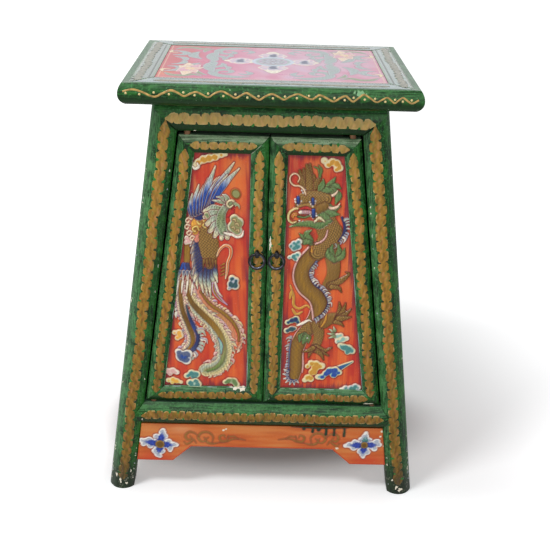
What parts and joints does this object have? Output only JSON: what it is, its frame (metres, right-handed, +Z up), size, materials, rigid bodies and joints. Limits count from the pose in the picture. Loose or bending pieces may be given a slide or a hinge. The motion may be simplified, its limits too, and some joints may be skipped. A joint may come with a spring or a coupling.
{
  "type": "tapered cabinet",
  "caption": "Small tapered cabinet on splayed legs, with a framed overhanging top, panelled doors on wooden pivots and iron ring pulls.",
  "frame": {"origin": "on the floor, under the middle of the cabinet", "axes": "+X to the right of someone facing the doors, -Y the door side, +Z up"},
  "size_m": [0.461, 0.312, 0.62],
  "materials": {
    "green_paint": "glossy green paint on wood, worn at the edges",
    "red_paint": "brushed orange-red lacquer on wood",
    "orange_paint": "brushed orange lacquer on wood",
    "top_paint": "glossy painted panel under clear lacquer",
    "inside_wood": "thin reddish-brown stain",
    "bare_wood": "bare turned hardwood",
    "iron": "blackened wrought iron"
  },
  "bodies": {
    "cabinet": {"back_bottom_rail": "green_paint", "back_left_leg": "green_paint", "back_panel": "inside_wood", "back_right_leg": "green_paint", "back_top_batten": "inside_wood", "back_top_rail": "green_paint", "bottom_board": "inside_wood", "door_stop": "inside_wood", "front_apron": "orange_paint", "front_bottom_rail": "green_paint", "front_left_leg": "green_paint", "front_right_leg": "green_paint", "front_top_batten": "inside_wood", "front_top_rail": "green_paint", "left_apron": "orange_paint", "left_bottom_cleat": "inside_wood", "left_bottom_rail": "green_paint", "left_shelf_cleat": "inside_wood", "left_side_panel": "red_paint", "left_top_rail": "green_paint", "right_apron": "orange_paint", "right_bottom_cleat": "inside_wood", "right_bottom_rail": "green_paint", "right_shelf_cleat": "inside_wood", "right_side_panel": "red_paint", "right_top_rail": "green_paint", "shelf": "inside_wood", "top_frame_back": "green_paint", "top_frame_front": "green_paint", "top_frame_left": "green_paint", "top_frame_right": "green_paint", "top_panel": "top_paint"},
    "left_door": {"left_door_bottom_rail": "green_paint", "left_door_inner_stile": "green_paint", "left_door_outer_stile": "green_paint", "left_door_panel": "red_paint", "left_door_pivots": "bare_wood", "left_door_staple": "iron", "left_door_top_rail": "green_paint"},
    "right_door": {"right_door_bottom_rail": "green_paint", "right_door_inner_stile": "green_paint", "right_door_outer_stile": "green_paint", "right_door_panel": "red_paint", "right_door_pivots": "bare_wood", "right_door_staple": "iron", "right_door_top_rail": "green_paint"},
    "left_ring": {"left_door_ring": "iron"},
    "right_ring": {"right_door_ring": "iron"}
  },
  "joints": [
    {"name": "left_door_hinge", "type": "hinge", "parent": "cabinet", "child": "left_door", "pos_m": [-0.16093, -0.1236, 0.145], "axis": [-0.1269, -0.0335, -0.9913], "range_deg": [0, 100]},
    {"name": "right_door_hinge", "type": "hinge", "parent": "cabinet", "child": "right_door", "pos_m": [0.16093, -0.1236, 0.145], "axis": [-0.1269, 0.0335, 0.9913], "range_deg": [0, 100]},
    {"name": "left_ring_swing", "type": "hinge", "parent": "left_door", "child": "left_ring", "pos_m": [-0.0135, -0.12706, 0.383], "axis": [-1, 0, 0], "range_deg": [0, 170]},
    {"name": "right_ring_swing", "type": "hinge", "parent": "right_door", "child": "right_ring", "pos_m": [0.0135, -0.12706, 0.383], "axis": [-1, 0, 0], "range_deg": [0, 170]}
  ]
}
